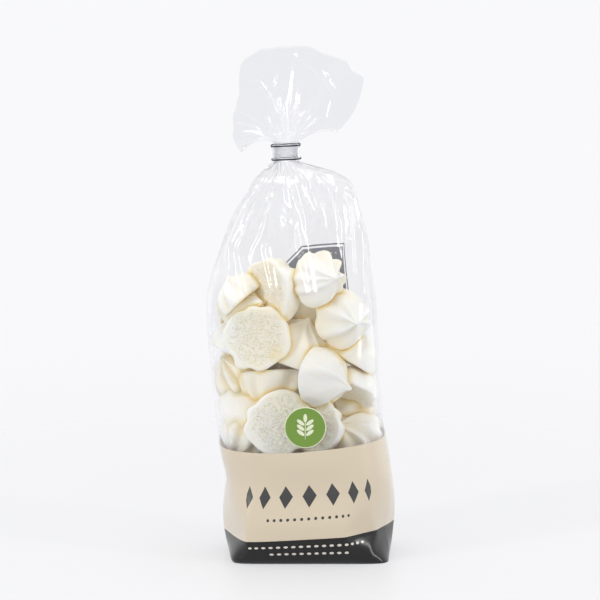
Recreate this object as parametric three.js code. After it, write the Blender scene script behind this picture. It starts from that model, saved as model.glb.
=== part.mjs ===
// A clear film bag full of meringue cookies, standing on its folded block bottom.
// The film tube is gathered into a neck, held by a strip with two wires, and fans out above it.
// The sealed bag is one solid out to the film. A round sticker lies on its front.
// Millimetres, +Z up, the front faces -Y, and the origin is on the floor under the bag.

import * as THREE from "three";

// The film tube, laid flat: its front and back panels and its two side panels.
const PANEL_WIDTH = 100;
const SIDE_WIDTH = 62;
const GIRTH = 2 * (PANEL_WIDTH + SIDE_WIDTH);

// Cross-sections of the filled bag. Each one gives its height, how far the film reaches left and
// right of the origin, its half depth, and how square it is: 2 is an ellipse, 6 nearly a rectangle.
// The bag leans to the left, and its right shoulder is the higher one.
const SECTIONS = [
  { height: 0, left: 47, right: 45.5, depth: 27.5, square: 9 },
  { height: 1.5, left: 48.5, right: 46.8, depth: 29, square: 8 },
  { height: 9, left: 51.2, right: 48, depth: 32, square: 5.5 },
  { height: 18, left: 52.3, right: 48.6, depth: 33.2, square: 3.6 },
  { height: 33, left: 51, right: 48, depth: 33.5, square: 2.9 },
  { height: 45, left: 48.5, right: 47, depth: 33, square: 2.7 },
  { height: 59, left: 52, right: 45, depth: 34, square: 2.6 },
  { height: 75, left: 54, right: 42, depth: 34, square: 2.6 },
  { height: 95, left: 56, right: 40, depth: 33.5, square: 2.8 },
  { height: 115, left: 58, right: 39, depth: 33.5, square: 2.9 },
  { height: 140, left: 60.5, right: 38.5, depth: 32.5, square: 3 },
  { height: 157, left: 61, right: 37.5, depth: 31, square: 3 },
  { height: 171, left: 58.5, right: 36.5, depth: 29, square: 3 },
  { height: 185, left: 53.5, right: 35, depth: 25.5, square: 3 },
  { height: 197, left: 48.5, right: 32, depth: 22, square: 2.9 },
  { height: 209, left: 42, right: 29, depth: 18, square: 2.8 },
  { height: 218, left: 37.5, right: 25, depth: 14, square: 2.7 },
  { height: 224, left: 31.5, right: 15, depth: 9.5, square: 2.5 },
  { height: 228.5, left: 25, right: 2, depth: 5, square: 2.2 },
];
const RING_SPACING = 5.5;
const POINTS_AROUND = 80;

// Cookies press soft lumps into the film, in staggered rows.
const LUMP = { rise: 1.8, radius: 21, pitch: GIRTH / 9, rows: 5, rowHeight: 29, lowest: 34 };

// Pleats run down from the neck and fade out over the shoulders. The side panels fold inwards.
const PLEATS = { count: 13, fine: 29, fineShare: 0.4, deepest: 0.13, top: 229, full: 212, end: 150 };
const GUSSET = { tuck: 7, halfWidth: 15, start: 140, full: 205, end: 229 };

// The neck runs straight through the clip, which is turned a little, with its right end up.
const NECK = { x: -14.6, bottom: 230.3, top: 241, halfWidth: 7.4, halfDepth: 3.3 };
const CLIP = {
  height: 235.6, turn: THREE.MathUtils.degToRad(-3), gap: 0.4, corner: 1.6,
  strip: { height: 6.2, wall: 0.6 },
  wire: { radius: 0.42, height: 3.9 },
};

// Above the clip the film fans out. Angles are measured from straight up, positive to the right,
// and reach is how far the cut edge of the film lies from the neck at that angle.
const FAN = {
  left: -103, right: 78, rings: 11, halfThickness: 4.2, ripple: 6.5, ripples: 3.3,
  startTurn: 0.72, edgeWave: 0.035, edgeWaves: 6,
  reach: [
    { angle: -103, length: 27 },
    { angle: -56, length: 34 },
    { angle: -42, length: 40 },
    { angle: -28, length: 51 },
    { angle: -14, length: 55.5 },
    { angle: 0, length: 53 },
    { angle: 14, length: 56.5 },
    { angle: 34, length: 55.5 },
    { angle: 50, length: 58 },
    { angle: 62, length: 44 },
    { angle: 78, length: 31 },
  ],
};

// A paper sticker on the front of the film.
const STICKER = { x: -3, height: 81, radius: 12, gap: 0.5, thickness: 0.35, rings: 4, sides: 36 };

// The value of key at x in a list sorted by at, on a smooth curve through the list's values.
function smoothAlong(list, at, key, x) {
  const last = list.length - 2;
  const i = Math.min(Math.max(list.findIndex((p) => p[at] > x) - 1, 0), last);
  const k = x >= list[last + 1][at] ? last : i;
  const slope = (j) => {
    const a = list[Math.max(j - 1, 0)];
    const b = list[Math.min(j + 1, list.length - 1)];
    return (b[key] - a[key]) / (b[at] - a[at]);
  };
  const span = list[k + 1][at] - list[k][at];
  const t = THREE.MathUtils.clamp((x - list[k][at]) / span, 0, 1);
  const [t2, t3] = [t * t, t * t * t];
  return (
    (2 * t3 - 3 * t2 + 1) * list[k][key] + (t3 - 2 * t2 + t) * span * slope(k) +
    (3 * t2 - 2 * t3) * list[k + 1][key] + (t3 - t2) * span * slope(k + 1)
  );
}

const { smoothstep, lerp, degToRad } = THREE.MathUtils;

// A triangle wave between -1 and 1, for folds with sharp ridges.
const zigzag = (x) => 4 * Math.abs(x - Math.floor(x) - 0.5) - 1;

// The point at s millimetres round the flat tube, as its place on a square from -1 to 1 each way.
// s counts from the middle of the front, to the right.
function onSquare(s) {
  const [w, d] = [PANEL_WIDTH / 2, SIDE_WIDTH];
  const turn = ((s % GIRTH) + GIRTH) % GIRTH;
  if (turn <= w) return [turn / w, -1];
  if (turn <= w + d) return [1, -1 + (2 * (turn - w)) / d];
  if (turn <= 3 * w + d) return [1 - (turn - w - d) / w, 1];
  if (turn <= 3 * w + 2 * d) return [-1, 1 - (2 * (turn - 3 * w - d)) / d];
  return [(turn - GIRTH) / w, -1];
}

// How far the lumps push the film out at s round the tube and at this height.
function lumpAt(s, height) {
  let rise = 0;
  for (let row = 0; row < LUMP.rows; row++) {
    const dz = height - LUMP.lowest - row * LUMP.rowHeight;
    const shift = row * 0.5 + 0.2 * Math.sin(2.7 * row);
    const along = s / LUMP.pitch - shift;
    const ds = (along - Math.round(along)) * LUMP.pitch;
    const near = 1 - (ds * ds + dz * dz) / LUMP.radius ** 2;
    if (near > 0) rise = Math.max(rise, LUMP.rise * near);
  }
  return rise;
}

// The pleats' depth at this place, as a share of the section's size.
function pleatAt(s, height) {
  const depth = PLEATS.deepest * smoothstep(height, PLEATS.end, PLEATS.full);
  const fade = 1 - 0.75 * smoothstep(height, PLEATS.full, PLEATS.top);
  const turn = s / GIRTH;
  const bend = 0.05 * Math.sin(2 * Math.PI * (2 * turn + 0.1));
  const folds = zigzag(PLEATS.count * (turn + bend)) + PLEATS.fineShare * zigzag(PLEATS.fine * turn);
  return (depth * fade * folds) / (1 + PLEATS.fineShare);
}

// A point of the film round the filled bag.
function bodyPoint(s, height) {
  const [px, py] = onSquare(s);
  const [left, right, depth, square] = ["left", "right", "depth", "square"].map((key) =>
    smoothAlong(SECTIONS, "height", key, height),
  );
  const round = (Math.abs(px) ** square + Math.abs(py) ** square) ** (-1 / square);
  const offset = new THREE.Vector2((px * round * (left + right)) / 2, py * round * depth);
  const tuck = GUSSET.tuck * smoothstep(height, GUSSET.start, GUSSET.full) *
    (1 - smoothstep(height, GUSSET.full, GUSSET.end));
  const fold = Math.abs(px) === 1 ? Math.max(0, 1 - (Math.abs(py) * SIDE_WIDTH) / 2 / GUSSET.halfWidth) : 0;
  const size = offset.length();
  offset.multiplyScalar((1 + pleatAt(s, height)) * (1 + (lumpAt(s, height) - LUMP.rise / 2) / size));
  offset.x -= Math.sign(px) * tuck * fold;
  return new THREE.Vector3((right - left) / 2 + offset.x, offset.y, height);
}

// A point of the film in the neck.
function neckPoint(s, height) {
  const angle = Math.atan2(...onSquare(s).reverse());
  return new THREE.Vector3(
    NECK.x + NECK.halfWidth * Math.cos(angle), NECK.halfDepth * Math.sin(angle), height,
  );
}

// A point of the fan: t runs from the neck, 0, to the cut edge, 1.
function fanPoint(s, t) {
  const turn = s / GIRTH - Math.round(s / GIRTH);
  const front = Math.abs(turn) < 0.25;
  const across = front ? 4 * turn : Math.sign(turn) * (2 - 4 * Math.abs(turn));
  const angle = lerp(FAN.left, FAN.right, (across + 1) / 2);
  const wave = 1 + FAN.edgeWave * zigzag(FAN.edgeWaves * across) * t;
  const reach = smoothAlong(FAN.reach, "angle", "length", angle) * wave * t;
  const lean = degToRad(angle) * lerp(FAN.startTurn, 1, t);
  const open = Math.sqrt(Math.max(0, 1 - across * across));
  const half = lerp(NECK.halfDepth, FAN.halfThickness, t) * open;
  const ripple = FAN.ripple * t * Math.sin(Math.PI * FAN.ripples * across + 0.6);
  return new THREE.Vector3(
    NECK.x + NECK.halfWidth * across * (1 - t) + reach * Math.sin(lean),
    (front ? -half : half) + ripple,
    NECK.top + reach * Math.cos(lean),
  );
}

// The closed solid that rings of points bound, from a flat bottom ring to a top ring whose front
// and back halves are joined straight across.
function solidFromRings(rings) {
  const n = rings[0].length;
  const top = (rings.length - 1) * n;
  const points = rings.flat();
  const faces = [];
  for (let ring = 0; ring < rings.length - 1; ring++) {
    for (let i = 0; i < n; i++) {
      const [a, b] = [ring * n + i, ring * n + ((i + 1) % n)];
      faces.push(a, b, b + n, a, b + n, a + n);
    }
  }
  const foot = points.length;
  points.push(rings[0].reduce((sum, p) => sum.add(p), new THREE.Vector3()).divideScalar(n));
  for (let i = 0; i < n; i++) faces.push(foot, (i + 1) % n, i);
  for (let i = -n / 4; i < n / 4; i++) {
    const [a, b] = [(i + n) % n, (i + 1 + n) % n];
    const [c, d] = [(n / 2 - i) % n, (n / 2 - i - 1) % n];
    if (i > -n / 4) faces.push(top + a, top + b, top + c);
    if (i < n / 4 - 1) faces.push(top + b, top + d, top + c);
  }
  const geometry = new THREE.BufferGeometry().setFromPoints(points).setIndex(faces);
  geometry.computeVertexNormals();
  return geometry;
}

function bagGeometry() {
  const heights = [];
  for (let i = 0; i < SECTIONS.length - 1; i++) {
    const [low, high] = [SECTIONS[i].height, SECTIONS[i + 1].height];
    const steps = Math.ceil((high - low) / RING_SPACING);
    for (let k = 0; k < steps; k++) heights.push(lerp(low, high, k / steps));
  }
  const around = Array.from({ length: POINTS_AROUND }, (_, i) => (i * GIRTH) / POINTS_AROUND);
  const body = heights.map((z) => around.map((s) => bodyPoint(s, z)));
  const neck = [NECK.bottom, NECK.top].map((z) => around.map((s) => neckPoint(s, z)));
  const fan = Array.from({ length: FAN.rings }, (_, i) =>
    around.map((s) => fanPoint(s, (i + 1) / FAN.rings)),
  );
  return solidFromRings([...body, ...neck, ...fan]);
}

// A rectangle with round corners, as a shape or as a hole.
function roundedRectangle(path, halfWidth, halfDepth, corner) {
  const [w, d] = [halfWidth - corner, halfDepth - corner];
  path.moveTo(halfWidth, -d);
  path.absarc(w, d, corner, 0, Math.PI / 2);
  path.absarc(-w, d, corner, Math.PI / 2, Math.PI);
  path.absarc(-w, -d, corner, Math.PI, 1.5 * Math.PI);
  path.absarc(w, -d, corner, 1.5 * Math.PI, 2 * Math.PI);
  return path;
}

// The clear strip, folded into a flat loop round the neck.
function stripGeometry() {
  const [w, d] = [NECK.halfWidth + CLIP.gap, NECK.halfDepth + CLIP.gap];
  const { height, wall } = CLIP.strip;
  const outline = roundedRectangle(new THREE.Shape(), w + wall, d + wall, CLIP.corner + wall);
  outline.holes.push(roundedRectangle(new THREE.Path(), w, d, CLIP.corner));
  const geometry = new THREE.ExtrudeGeometry(outline, {
    depth: height, bevelEnabled: false, curveSegments: 5,
  });
  return geometry.translate(0, 0, -height / 2);
}

// One wire of the clip, bent into the same loop as the strip.
function wireGeometry() {
  const { radius } = CLIP.wire;
  const [w, d] = [NECK.halfWidth + CLIP.gap + radius, NECK.halfDepth + CLIP.gap + radius];
  const loop = roundedRectangle(new THREE.Path(), w, d, CLIP.corner + radius);
  const bends = loop.getPoints(5).filter((p, i, all) => i === 0 || p.distanceTo(all[i - 1]) > 0.01);
  if (bends[0].distanceTo(bends.at(-1)) < 0.01) bends.pop();
  const sides = 8;
  const [points, faces] = [[], []];
  bends.forEach((p, i) => {
    const before = bends.at(i - 1);
    const after = bends[(i + 1) % bends.length];
    const out = new THREE.Vector2(after.y - before.y, before.x - after.x).normalize();
    for (let k = 0; k < sides; k++) {
      const angle = (2 * Math.PI * k) / sides;
      const reach = radius * Math.cos(angle);
      points.push(new THREE.Vector3(p.x + out.x * reach, p.y + out.y * reach, radius * Math.sin(angle)));
    }
  });
  for (let i = 0; i < bends.length; i++) {
    const next = (i + 1) % bends.length;
    for (let k = 0; k < sides; k++) {
      const turn = (k + 1) % sides;
      const [a, b, c, d2] = [i * sides + k, next * sides + k, next * sides + turn, i * sides + turn];
      faces.push(a, b, c, a, c, d2);
    }
  }
  const geometry = new THREE.BufferGeometry().setFromPoints(points).setIndex(faces);
  geometry.computeVertexNormals();
  return geometry;
}

// The sticker follows the film's front, a little way off it.
function stickerGeometry() {
  const { x, height, radius, gap, thickness, rings, sides } = STICKER;
  const onFilm = (dx, dz, offset) => {
    const y = frontDepth(x + dx, height + dz);
    return new THREE.Vector3(x + dx, y - gap - offset, height + dz);
  };
  const [points, faces] = [[], []];
  for (const offset of [0, thickness]) {
    points.push(onFilm(0, 0, offset));
    for (let ring = 1; ring <= rings; ring++) {
      for (let k = 0; k < sides; k++) {
        const angle = (2 * Math.PI * k) / sides;
        const reach = (radius * ring) / rings;
        points.push(onFilm(reach * Math.cos(angle), reach * Math.sin(angle), offset));
      }
    }
  }
  const skin = 1 + rings * sides;
  const face = (a, b, c) => faces.push(a, c, b, skin + a, skin + b, skin + c);
  for (let k = 0; k < sides; k++) {
    const next = (k + 1) % sides;
    face(0, 1 + k, 1 + next);
    for (let ring = 0; ring < rings - 1; ring++) {
      const [a, b] = [1 + ring * sides + k, 1 + ring * sides + next];
      face(a, a + sides, b + sides);
      face(a, b + sides, b);
    }
    const [a, b] = [1 + (rings - 1) * sides + k, 1 + (rings - 1) * sides + next];
    faces.push(a, b, skin + b, a, skin + b, skin + a);
  }
  const geometry = new THREE.BufferGeometry().setFromPoints(points).setIndex(faces);
  geometry.computeVertexNormals();
  return geometry;
}

// How far forward the film's front lies at this x and height, found by halving the stretch of film.
function frontDepth(x, height) {
  let [low, high] = [-PANEL_WIDTH / 2, PANEL_WIDTH / 2];
  for (let i = 0; i < 30; i++) {
    const middle = (low + high) / 2;
    if (bodyPoint(middle, height).x < x) low = middle;
    else high = middle;
  }
  return bodyPoint(low, height).y;
}

const materials = {
  film: new THREE.MeshStandardMaterial({ color: 0xeeece4, roughness: 0.12, metalness: 0 }),
  strip: new THREE.MeshStandardMaterial({ color: 0xe2e4ea, roughness: 0.1, metalness: 0 }),
  wire: new THREE.MeshStandardMaterial({ color: 0x4a4a52, roughness: 0.35, metalness: 1 }),
  sticker: new THREE.MeshStandardMaterial({ color: 0x5f9a3c, roughness: 0.45, metalness: 0 }),
};

const bag = new THREE.Mesh(bagGeometry(), materials.film);
bag.name = "bag";

const sticker = new THREE.Mesh(stickerGeometry(), materials.sticker);
sticker.name = "sticker";

const clip = new THREE.Group();
clip.position.set(NECK.x, 0, CLIP.height);
clip.rotation.y = CLIP.turn;
const strip = new THREE.Mesh(stripGeometry(), materials.strip);
strip.name = "clip_strip";
clip.add(strip);
for (const [name, side] of [["clip_wire_upper", 1], ["clip_wire_lower", -1]]) {
  const wire = new THREE.Mesh(wireGeometry(), materials.wire);
  wire.name = name;
  wire.position.z = side * CLIP.wire.height;
  clip.add(wire);
}

const model = new THREE.Group();
model.add(bag, sticker, clip);

export default model;
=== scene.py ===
import math
from functools import reduce

import bpy
import numpy as np
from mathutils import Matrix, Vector, noise
from mathutils.bvhtree import BVHTree


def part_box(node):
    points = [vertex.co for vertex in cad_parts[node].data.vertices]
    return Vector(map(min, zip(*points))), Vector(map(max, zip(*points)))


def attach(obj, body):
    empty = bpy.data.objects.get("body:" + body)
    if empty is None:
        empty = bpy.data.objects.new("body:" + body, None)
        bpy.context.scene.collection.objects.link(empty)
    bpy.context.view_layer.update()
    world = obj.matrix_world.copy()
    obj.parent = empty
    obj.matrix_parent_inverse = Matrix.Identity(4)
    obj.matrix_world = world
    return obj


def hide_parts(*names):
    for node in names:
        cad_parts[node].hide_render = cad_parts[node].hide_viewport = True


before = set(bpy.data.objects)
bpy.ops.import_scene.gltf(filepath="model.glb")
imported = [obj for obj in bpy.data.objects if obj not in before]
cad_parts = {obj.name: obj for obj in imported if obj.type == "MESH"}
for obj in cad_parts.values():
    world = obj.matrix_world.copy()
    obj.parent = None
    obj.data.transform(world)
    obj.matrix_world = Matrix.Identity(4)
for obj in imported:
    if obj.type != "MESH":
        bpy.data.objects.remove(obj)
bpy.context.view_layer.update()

# A clear film bag full of piped meringue cookies, gathered by a clip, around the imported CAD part.
# Shapes are worked out in millimetres and go into Blender in metres. The front faces -Y.
# A place round the film tube is its turn, from 0 to 1: 0 is the middle of the front, and it
# grows to the right. Grids of film points have one row for each height and close along a row.
# A pair of lists is a curve: places, and the values there.

MM = 0.001
UP = np.array([0.0, 0.0, 1.0])

# The flat film tube: front and back panels, and two side panels.
PANEL_WIDTH = 100.0
SIDE_WIDTH = 62.0
GIRTH = 2 * (PANEL_WIDTH + SIDE_WIDTH)
COLUMNS = 288
FILM_STEP = 1.35
UNDERSIDE_ROWS = 9

# How square the bag's section is at some heights: 2 is an ellipse, and 6 is nearly a rectangle.
SQUARE_AT = (
    [0, 9, 18, 33, 60, 95, 140, 185, 209, 228],
    [9, 5.5, 3.6, 2.9, 2.6, 2.8, 3.0, 3.0, 2.8, 2.2],
)

# The bag leans to the left, so its film's rows rise to the right by this share, against height.
# To the left of the middle they rise less, and they level out sooner the higher they are.
LEAN = ([0, 16, 60, 190, 222], [0, 0.062, 0.095, 0.095, 0])
LEVELS_OUT = ([16, 60], [0, 1 / 18])

# Flat cuts in the foot's film, where its corners are folded: way out as (x, y), how far out the
# film may reach that way, and how much of the rest is cut against height.
CUTS = [
    ((-0.94, -0.34), 45.2, ([0, 14, 30, 50], [0, 1, 0.6, 0])),
    ((0.606, -0.795), 37.5, ([0, 16, 32, 50], [0, 1, 0.4, 0])),
    ((0.912, -0.41), 42.2, ([0, 16, 32, 50], [0, 1, 0.4, 0])),
    ((0.0, -1.0), 30.5, ([24, 42, 58], [0, 1, 0])),
]
CUT_FADE = 8.0
CUTS_END = 60.0

# The print: heights along the film of the black foot and of the cream band above it.
BLACK_TOP = 15.8
CREAM_TOP = 67.3
# The label on the back, between two heights, and how far its material reaches past its edges.
LABEL = {"bottom": 118.0, "top": 176.5, "half_width": 22.0, "across": -17.0, "cut_corner": 10.0}
LABEL_MARGIN = 3.0

STICKER = {
    "x": -3.6, "height": 81.9, "radius": 11.9, "green_radius": 11.4, "lift": 0.3, "thickness": 0.2,
}
STICKER_AROUND = 96
STICKER_RINGS = 22

NECK = {"x": -14.6, "bottom": 230.3, "top": 241.0, "half_width": 7.4, "half_depth": 3.3}

# The fan above the clip. Angles are from straight up, positive to the right.
FAN = {
    "left": -103.0, "right": 78.0, "rows": 48, "half_thickness": 4.2, "ripple": 2.0, "ripples": 3.3,
    "ripple_start": 0.6, "usual_reach": 55.0, "start_turn": 0.72, "edge_wave": 0.035,
    "edge_waves": 6, "edge_seed": 12,
}
FAN_REACH = (
    [-103, -56, -42, -28, -14, 0, 14, 34, 50, 62, 78],
    [27, 34, 40, 51, 55.5, 53, 56.5, 55.5, 58, 44, 31],
)

# Fold waves in the film: folds round the tube, seed, and depth in mm against height.
BODY_FOLDS = [
    (8, 3, ([120, 165, 190, 215, 229], [0, 1.6, 3.4, 3.0, 0.8])),
    (17, 5, ([165, 195, 213, 229], [0, 1.3, 2.6, 1.6])),
    (37, 8, ([195, 212, 224, 230], [0, 0.5, 1.2, 1.5])),
]
NECK_FOLD = (31, 9, 0.42)
FAN_FOLDS = [
    (10, 24, ([0, 0.3, 1], [0.6, 1.2, 1.4])),
    (27, 22, ([0, 0.25, 0.5, 1], [1.6, 1.5, 0.7, 0.3])),
    (53, 23, ([0, 0.25, 0.5], [0.4, 0.8, 0])),
]

# Single ridges in the front film: from and to as (x, height), half width, and how far they
# stand out.
RIDGES = [
    ((-12.4, 216), (-6.6, 198), 4, 2.6), ((-7.5, 198), (0.4, 160), 4.2, 2.6),
    ((10, 225), (21, 207), 3, 2), ((21, 207), (23.3, 170), 3.4, 2.4),
    ((-23.3, 211), (-12.4, 198), 3, 2), ((-48, 199), (-34.2, 212), 2.2, 1.6),
    ((-47, 184), (-46.5, 152), 3, 2), ((-41, 180), (-36.5, 160), 3.6, 2.2),
    ((-25.5, 184), (-21.5, 163), 3, 2), ((29, 192), (30.5, 158), 6, 2.8),
    ((-2, 222), (4, 208), 4, 2.2), ((14, 214), (30, 216), 2, 1.6),
    ((-38.5, 287), (-32.7, 279.4), 1.5, 1), ((-36.7, 288), (-27.9, 280.6), 1.5, 1),
    ((-32.7, 279.3), (-25, 270.4), 1.6, 1.1), ((-25, 270.4), (-16.2, 250.1), 1.7, 1.3),
    ((-14.5, 296), (-23.9, 271.6), 1.4, 0.9), ((-9.8, 281), (-14.5, 250.1), 2.2, 1.4),
    ((-8, 291.3), (3.1, 283.5), 2.2, 1.6), ((3.1, 283.5), (7.8, 278.8), 2.6, 1.8),
    ((7.8, 278.8), (11.9, 272.2), 2, 1.4), ((4.9, 275.8), (2.5, 263.3), 1.7, 1.1),
    ((12.5, 269.2), (9.6, 256.7), 1.5, 0.9), ((-8, 246), (12, 250), 1.3, 0.9),
    ((-38, 247), (-22, 246), 1.5, 1), ((-38, 241), (-20, 245), 1.5, 1),
]

# The film settles round the cookies. It is held up to one height in the foot and between two at
# the neck, and the rows above the filled part count as one height.
HELD_FOOT = 9.0
HELD_NECK = (226, 243)
ABOVE_NECK = 300.0
# How long the film is as a share of its guide, against height.
SLACK = ([20, 50, 150, 175, 195, 225], [1, 0.98, 0.98, 1.015, 1.03, 1.01])
# Links between film points: rows and columns that they span, and their stiffness.
FILM_LINKS = [
    (0, 1, 0.5), (1, 0, 0.5), (1, 1, 0.2), (1, -1, 0.2),
    (0, 3, 0.08), (3, 0, 0.08), (0, 6, 0.05), (6, 0, 0.05),
]
FILM_STEPS = 140
FILM_GAP = 0.7  # between the film and the cookies
FILM_NUDGE = 4.0  # how uneven the film starts
NUDGE_PASSES = 12
MOST_DRIFT = 5.0  # from the guide
KEPT_SPEED = 0.9
GUIDE_PULL = 0.004

# A cookie: a piped star of soft lobes with a curled tip, on a flat porous underside.
COOKIE_RADIUS = 18.5
COOKIE_HEIGHT = 24.0
COOKIE_AROUND = 96
SHELL_RINGS = 42
BASE_RINGS = 20
# Its profile from the underside's rim to the tip: share of the radius, share of the height.
SHELL_PROFILE = [
    (0.93, 0.0), (0.985, 0.03), (1.0, 0.12), (0.985, 0.25), (0.91, 0.4), (0.78, 0.54), (0.6, 0.67),
    (0.4, 0.77), (0.23, 0.85), (0.13, 0.91), (0.08, 0.96), (0.02, 1.0),
]
# How deep its grooves cut, as a share of the radius, and how sharp its lobes' ridges are (a lower
# number is sharper), both against the share of the height.
GROOVE_DEPTH = ([0, 0.12, 0.5, 0.85, 1], [0.07, 0.11, 0.23, 0.45, 0.4])
RIDGE_POWER = ([0, 0.3, 0.7, 1], [1.5, 1.2, 0.75, 0.7])
# Lumps of the shell as a share of the radius, and the hollow and pores of the underside.
LUMP_SIZE = 9
LUMP_DEPTH = 0.045
HOLLOW_DEPTH = 0.8
PORE_SIZE = 2.0
PORE_DEPTH = 0.5

KINDS = 5
COOKIE_COUNT = 45

# The cookies that show in front: x and height of their middle, tip direction, spin, size, and how
# far behind the film they lie.
FRONT_COOKIES = [
    ((-47, 155.5), (-0.66, 0.25, 0.70), 10, 0.87, 6),
    ((-19.5, 156.5), (0.75, 0.66, 0.05), 40, 1.1, 1),
    ((7.1, 165), (0.62, -0.74, 0.22), 24, 0.92, 0),
    ((21.5, 140.5), (0.53, -0.84, 0.06), 25, 0.95, 0),
    ((-32, 129.5), (0.25, 0.95, -0.12), 12, 1.07, 0),
    ((-8.5, 125.5), (0.3, -0.1, 0.95), 70, 1.23, 8),
    ((9.3, 107.7), (0.86, -0.50, -0.10), 50, 1, 0),
    ((-22.5, 99), (0.05, -0.25, -0.97), 5, 1.05, 6),
    ((-20, 80.5), (-0.1, 0.98, -0.18), 33, 1.08, 0),
    ((5, 78), (0.40, 0.88, -0.2), 80, 0.95, 1),
    ((27, 102.5), (0.3, 0.6, 0.75), 15, 0.95, 3),
    ((-44, 87), (0.5, -0.5, 0.7), 20, 0.95, 8),
    ((28, 71), (-0.5, -0.6, 0.6), 60, 0.95, 1),
    ((29, 91), (0.7, -0.3, 0.65), 60, 0.88, 9),
    ((27, 121), (0.5, 0.2, 0.85), 75, 0.9, 10),
    ((-44, 66), (-0.5, -0.3, -0.8), 30, 0.93, 9),
    ((-45, 108), (-0.6, -0.2, 0.75), 90, 0.9, 16),
    ((0.5, 146.5), (0.6, -0.3, 0.7), 90, 0.93, 19),
    ((-14, 112), (-0.2, -0.8, 0.5), 20, 0.9, 15),
    ((-35, 146), (0.3, -0.8, 0.5), 50, 0.9, 20),
]
# How easily a cookie moves along x, y and z and turns while they are packed, and how far a front
# cookie may then be moved back inside the wall along x, y and z.
FRONT_EASE = (0, 0.5, 0, 0)
LOOSE_EASE = (1, 1, 1, 1)
FRONT_FREEDOM = (0.2, 1, 0)

# How the cookies are packed, in mm and steps.
PACK_STEPS = 220
SAMPLES = 130  # points of each cookie that feel a push
TOUCH_REACH = 2.1 * COOKIE_RADIUS
COOKIE_GAP = 0.3
FLOOR_GAP = 1.5
FRONT_GAP = 1.2
SIDE_GAP = 1.0
HEAP_TOP = 172.0
# How far the cookies stay behind the bag's wall, against height: further in the cut foot.
WALL_GAP = ([70, 85], [1.8, 0.8])
SOFT_WALL, HARD_WALL = 2, 8
HARD_FROM = 0.85  # share of the steps
SINK_UNTIL = 0.7  # share of the steps
SINK = 0.25
PUSH_RATE = 1.3
TURN_INERTIA = 120

# Distances that the heap's field and the painted nook shade on the cookies need.
FAR = 20.0
FIELD_REACH = 45
FIELD_MARGIN = 3
FIELD_TOP = 200
NOOK_SHADE_REACH = 70
NOOK_SHADE_WIDTH = 4.5
BURIED_SHADE = (2, 15)

# Rows of printed shapes, in mm: height of the middle, spacing, half width and half height of a
# shape, half length of the row, and the shape's power: 1 is a diamond, 2 an oval and 4 a bar.
CREAM_ROWS = [(41.0, 14.0, 4.2, 6.6, 45.0, 1.0), (28.0, 4.0, 0.9, 0.9, 25.0, 2.0)]
BLACK_ROWS = [(11.5, 4.5, 1.3, 0.7, 38.0, 2.0), (7.0, 4.5, 1.3, 0.7, 25.0, 2.0)]
LABEL_ROWS = [(LABEL["top"] - 6, 7.0, 2.4, 0.6, 13.0, 4.0)] + [
    (LABEL["top"] - below, spacing, 0.4 * spacing, 0.45, 16.0, 4.0)
    for below, spacing in ((24, 5.0), (28, 6.5), (32, 4.5), (36, 6.0), (40, 5.5))
]
# The sprig on the sticker: middle and half sizes of each oval in mm, and its turn in degrees.
SPRIG = [((0, -1.0), (0.22, 6.2), 0), ((0, 5.6), (1.1, 2.4), 0)] + [
    ((side * 2.6, up), (2.6, 1.05), side * 38) for side in (-1, 1) for up in (-3.0, 0.0, 3.0)
]

VIEW = {"x": -6.6, "height": 149.5, "distance": 2400.0, "elevation": 10.5, "width": 345.0}
FLOOR_SIZE = 900.0
# Soft boxes, in metres: name, place, width and height, and power. They face the bag's middle.
LIGHTS = [
    ("top", (0.0, 0.1, 1.3), (0.9, 0.9), 8),
    ("left", (-1.0, -0.7, 0.55), (0.12, 1.0), 6),
    ("right", (1.0, -0.5, 0.5), (0.12, 1.0), 4),
    ("left_rim", (-1.0, 0.75, 0.35), (0.7, 1.0), 0.5),
    ("right_rim", (1.1, 0.4, 0.3), (0.9, 1.0), 1.2),
]
LIGHTS_AIM = Vector((0, 0, 0.13))


# --- Small tools ---


def smoothstep(value, low, high):
    """0 below low, 1 above high, and a smooth ramp between."""
    share = np.clip((value - low) / (high - low), 0, 1)
    return share * share * (3 - 2 * share)


def smooth_curve(points, count):
    """count points along a smooth curve through these ones."""
    points = np.asarray(points, float)
    ends = np.vstack([2 * points[0] - points[1], points, 2 * points[-1] - points[-2]])
    along = np.linspace(0, len(points) - 1, count)
    first = np.minimum(along.astype(int), len(points) - 2)
    t = (along - first)[:, None]
    a, b, c, d = (ends[first + k] for k in range(4))
    return b + 0.5 * ((c - a) * t + (2 * a - 5 * b + 4 * c - d) * t**2 + (3 * (b - c) + d - a) * t**3)


def folds(turn, count, seed):
    """An uneven fold wave from 0 in the valleys to 1 on the ridges, with sharp creases."""
    rng = np.random.default_rng(seed)
    number = np.arange(2 * count)
    creases = (number + rng.uniform(-0.35, 0.35, 2 * count)) / (2 * count)
    ridges = rng.uniform(0.75, 1, 2 * count)
    valleys = rng.uniform(0, 0.35, 2 * count)
    return np.interp(turn, creases, np.where(number % 2, ridges, valleys), period=1)


def grid_quads(rows, columns):
    """The quads of a grid of points that closes on itself along each row."""
    row, column = np.mgrid[0 : rows - 1, 0:columns]
    after = (column + 1) % columns
    corners = [row * columns + column, row * columns + after,
               (row + 1) * columns + after, (row + 1) * columns + column]
    return np.stack(corners, axis=-1).reshape(-1, 4)


def new_object(name, points, faces, materials):
    """A smooth mesh object from points in mm."""
    mesh = bpy.data.meshes.new(name)
    mesh.from_pydata((points * MM).tolist(), [], faces)
    mesh.shade_smooth()
    for each in materials:
        mesh.materials.append(each)
    piece = bpy.data.objects.new(name, mesh)
    bpy.context.scene.collection.objects.link(piece)
    return piece


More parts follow.
